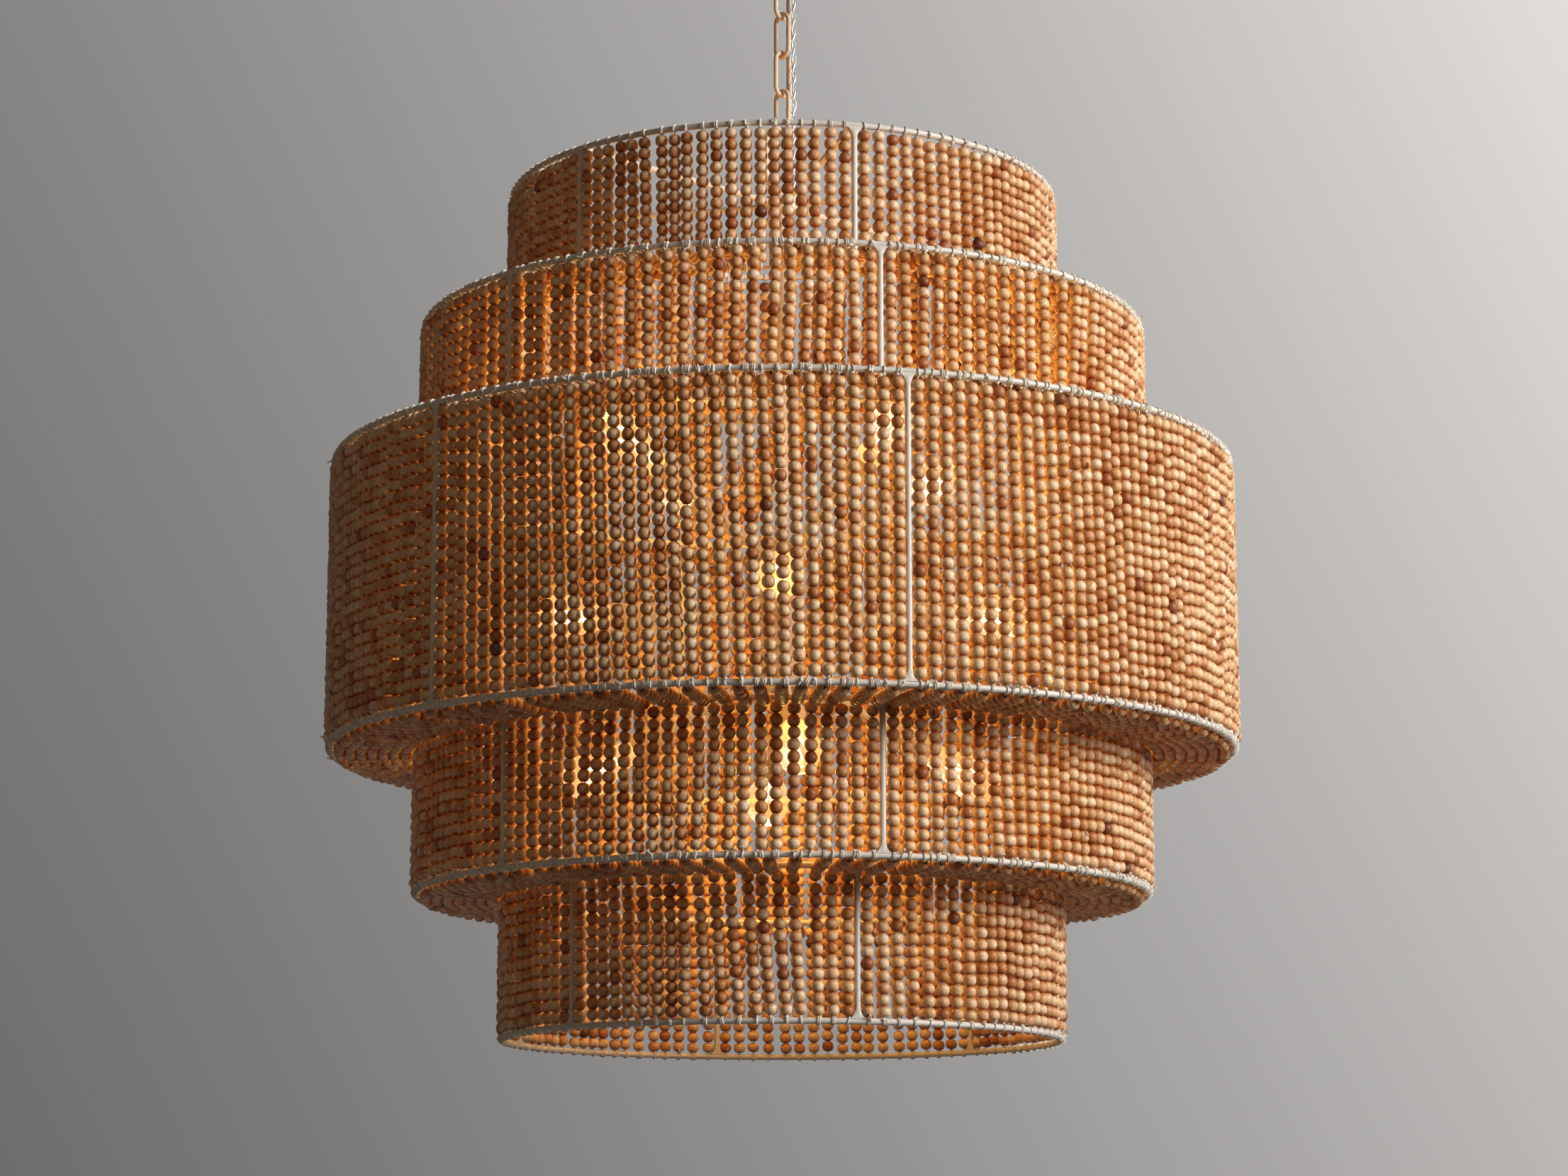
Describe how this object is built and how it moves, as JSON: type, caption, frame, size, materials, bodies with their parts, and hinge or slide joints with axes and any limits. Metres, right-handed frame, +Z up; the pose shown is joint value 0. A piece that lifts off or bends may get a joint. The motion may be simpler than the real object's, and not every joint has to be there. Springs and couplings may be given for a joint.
{
  "type": "beaded chandelier",
  "caption": "Round tiered chandelier of steel rod drums hung with strands of wooden beads, lit by bulbs inside, on a short chain below a ceiling canopy.",
  "frame": {"origin": "middle of the mounting strap's top face, where it meets the ceiling", "axes": "+Z up; +X and -X each point through a frame bar; the chain links lie in the XZ and YZ planes"},
  "size_m": [0.973, 0.973, 1.2872],
  "materials": {
    "frame_paint": "satin",
    "chain_paint": "satin",
    "fixing_steel": "satin",
    "grommet": "matte",
    "clear_flex": "gloss",
    "bead_wood": "satin varnish",
    "cotton_cord": "matte",
    "socket_sleeve": "matte",
    "bulb_glass": "clear",
    "bulb_metal": "satin"
  },
  "bodies": {
    "canopy": {"canopy": "frame_paint", "mounting_strap": "fixing_steel", "nipple": "fixing_steel", "canopy_loop": "chain_paint", "canopy_grommet": "grommet", "flex_1": "clear_flex"},
    "top_link": {"link_1": "chain_paint", "flex_2": "clear_flex"},
    "chain": {"link_2": "chain_paint", "link_3": "chain_paint", "link_4": "chain_paint", "flex_3": "clear_flex"},
    "bottom_link": {"link_5": "chain_paint", "flex_4": "clear_flex"},
    "fixture": {"hub_loop": "chain_paint", "spider": "frame_paint", "hub_grommet": "grommet", "stem": "frame_paint", "lamp_body": "frame_paint", "finial": "frame_paint", "drum_frame_1": "frame_paint", "drum_frame_2": "frame_paint", "drum_frame_3": "frame_paint", "drum_frame_4": "frame_paint", "drum_frame_5": "frame_paint", "bead_curtain_1": "bead_wood", "bead_curtain_2": "bead_wood", "bead_curtain_3": "bead_wood", "bead_curtain_4": "bead_wood", "bead_curtain_5": "bead_wood", "radial_strands_1": "bead_wood", "radial_strands_2": "bead_wood", "radial_strands_3": "bead_wood", "radial_strands_4": "bead_wood", "socket_upper_1": "socket_sleeve", "socket_upper_2": "socket_sleeve", "socket_upper_3": "socket_sleeve", "socket_upper_4": "socket_sleeve", "socket_middle_1": "socket_sleeve", "socket_middle_2": "socket_sleeve", "socket_middle_3": "socket_sleeve", "socket_middle_4": "socket_sleeve", "socket_lower_1": "socket_sleeve", "socket_lower_2": "socket_sleeve", "socket_lower_3": "socket_sleeve", "socket_lower_4": "socket_sleeve", "bulb_upper_1": "bulb_glass", "bulb_upper_2": "bulb_glass", "bulb_upper_3": "bulb_glass", "bulb_upper_4": "bulb_glass", "bulb_middle_1": "bulb_glass", "bulb_middle_2": "bulb_glass", "bulb_middle_3": "bulb_glass", "bulb_middle_4": "bulb_glass", "bulb_lower_1": "bulb_glass", "bulb_lower_2": "bulb_glass", "bulb_lower_3": "bulb_glass", "bulb_lower_4": "bulb_glass"}
  },
  "joints": [
    {"name": "chain_swing_x", "type": "hinge", "parent": "canopy", "child": "top_link", "pos_m": [0, 0, -0.0683], "axis": [1, 0, 0], "range_deg": [-20, 20], "deforming": ["flex_1"]},
    {"name": "chain_swing_y", "type": "hinge", "parent": "top_link", "child": "chain", "pos_m": [0, 0, -0.1123], "axis": [0, 1, 0], "range_deg": [-20, 20], "deforming": ["flex_2"]},
    {"name": "fixture_swing_x", "type": "hinge", "parent": "chain", "child": "bottom_link", "pos_m": [0, 0, -0.2464], "axis": [1, 0, 0], "range_deg": [-20, 20], "deforming": ["flex_3"]},
    {"name": "fixture_swing_y", "type": "hinge", "parent": "bottom_link", "child": "fixture", "pos_m": [0, 0, -0.2911], "axis": [0, 1, 0], "range_deg": [-20, 20], "deforming": ["flex_4"]}
  ]
}
